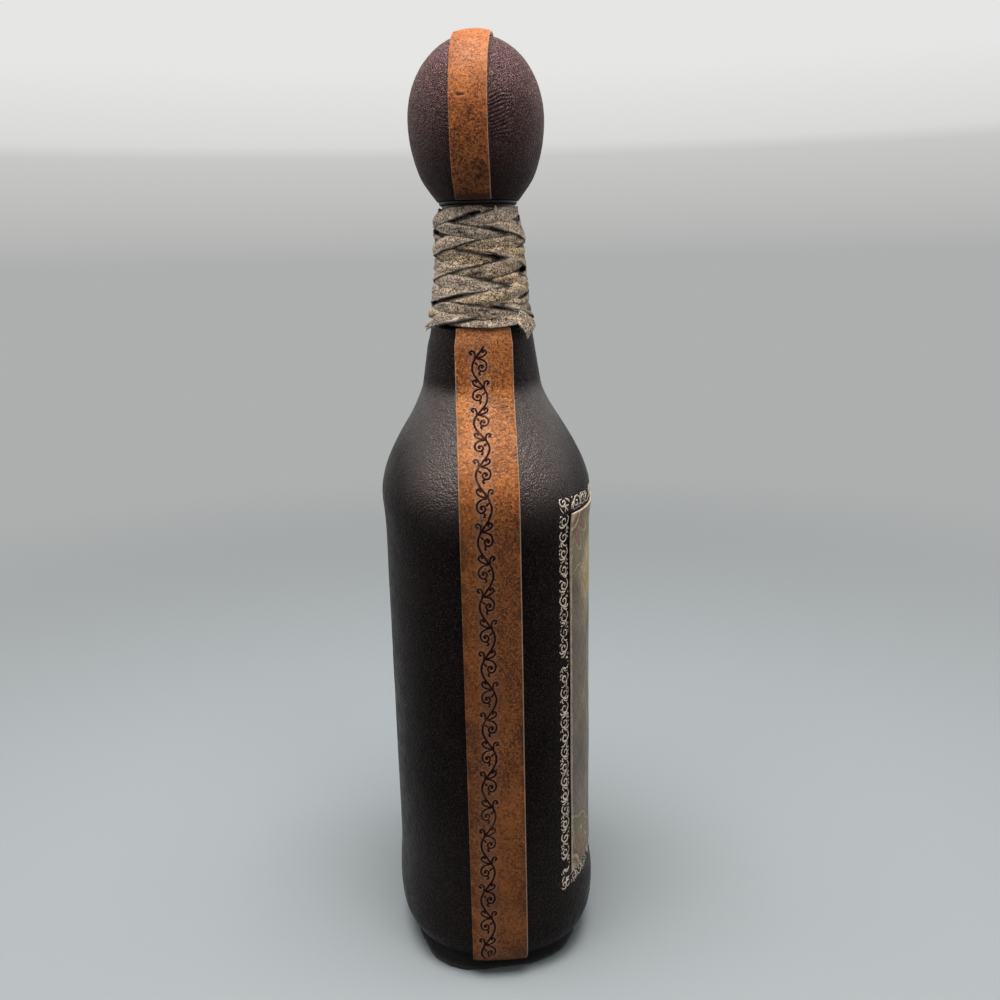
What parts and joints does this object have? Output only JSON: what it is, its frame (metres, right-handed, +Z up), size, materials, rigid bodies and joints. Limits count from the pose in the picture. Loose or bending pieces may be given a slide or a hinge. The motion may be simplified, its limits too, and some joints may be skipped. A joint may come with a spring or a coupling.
{
  "type": "leather-wrapped decanter",
  "caption": "Oval glass decanter dressed in dark leather with tan side strips, a framed front panel, a plaited suede neck and a leather-covered ball stopper that pulls out.",
  "frame": {"origin": "centre of the underside, on the surface it stands on", "axes": "+Z up along the neck, -Y out of the front with the picture panel, -X out of the left side with the near tan strip"},
  "size_m": [0.105, 0.0748, 0.328],
  "materials": {
    "glass": "gloss",
    "dark_leather": "satin, pebbled grain",
    "tan_leather": "satin, tooled and antiqued",
    "printed_panel": "glossy print",
    "felt": "matt felt",
    "suede": "matt suede",
    "wood": "plain turned",
    "ball_leather": "satin, fine grain",
    "black_leather": "gloss",
    "cork": "matt natural cork"
  },
  "bodies": {
    "bottle": {"glass_bottle": "glass", "front_leather": "dark_leather", "rear_leather": "dark_leather", "left_side_strip": "tan_leather", "right_side_strip": "tan_leather", "picture_panel": "printed_panel", "base_felt": "felt", "neck_lace_1": "suede", "neck_lace_2": "suede"},
    "stopper": {"stopper_core": "wood", "stopper_front_leather": "ball_leather", "stopper_rear_leather": "ball_leather", "stopper_band": "tan_leather", "stopper_washer": "black_leather", "stopper_cork": "cork"}
  },
  "joints": [
    {"name": "stopper_pull", "type": "slide", "parent": "bottle", "child": "stopper", "axis": [0, 0, 1], "range_m": [0, 0.05]}
  ]
}
